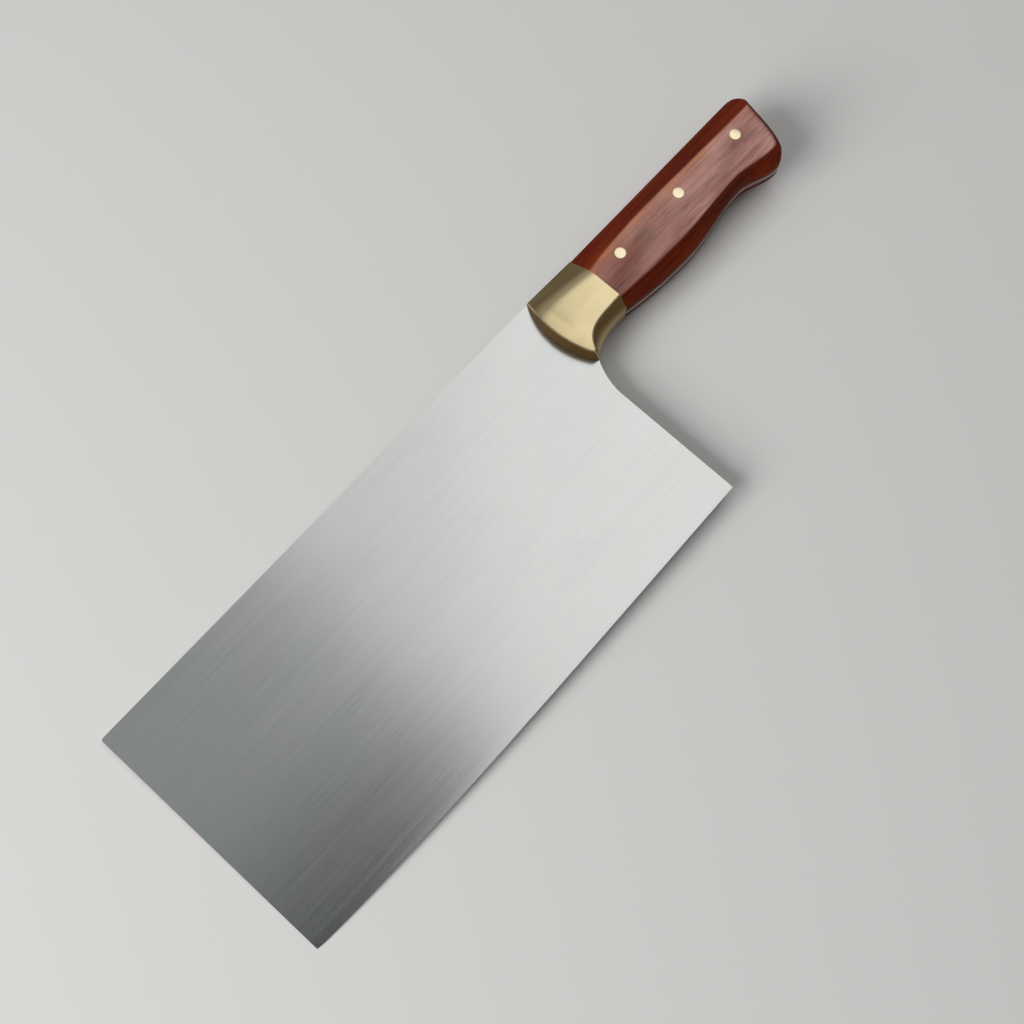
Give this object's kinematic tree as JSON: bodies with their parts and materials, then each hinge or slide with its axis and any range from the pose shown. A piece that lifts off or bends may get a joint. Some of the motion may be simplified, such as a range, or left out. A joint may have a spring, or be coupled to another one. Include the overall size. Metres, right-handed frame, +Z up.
{
  "type": "cleaver",
  "caption": "Kitchen cleaver with a tall rectangular ground steel blade, a bowed brass bolster and a faceted rosewood handle riveted over a full tang",
  "frame": {"origin": "under the middle of the knife's bounding box, on the surface that it lies on", "axes": "+X from the toe to the butt, +Y from the cutting edge towards the spine, +Z up out of the side that faces up as the knife lies on its side"},
  "size_m": [0.3242, 0.1004, 0.0236],
  "materials": {
    "blade_steel": "satin, fine grinding lines along the blade",
    "bolster_brass": "satin, softly buffed",
    "handle_rosewood": "oiled, low satin",
    "rivet_brass": "ground flush with the wood"
  },
  "bodies": {
    "root": {"blade_and_tang": "blade_steel", "bolster": "bolster_brass", "near_scale": "handle_rosewood", "far_scale": "handle_rosewood", "front_rivet": "rivet_brass", "middle_rivet": "rivet_brass", "rear_rivet": "rivet_brass"}
  },
  "joints": []
}
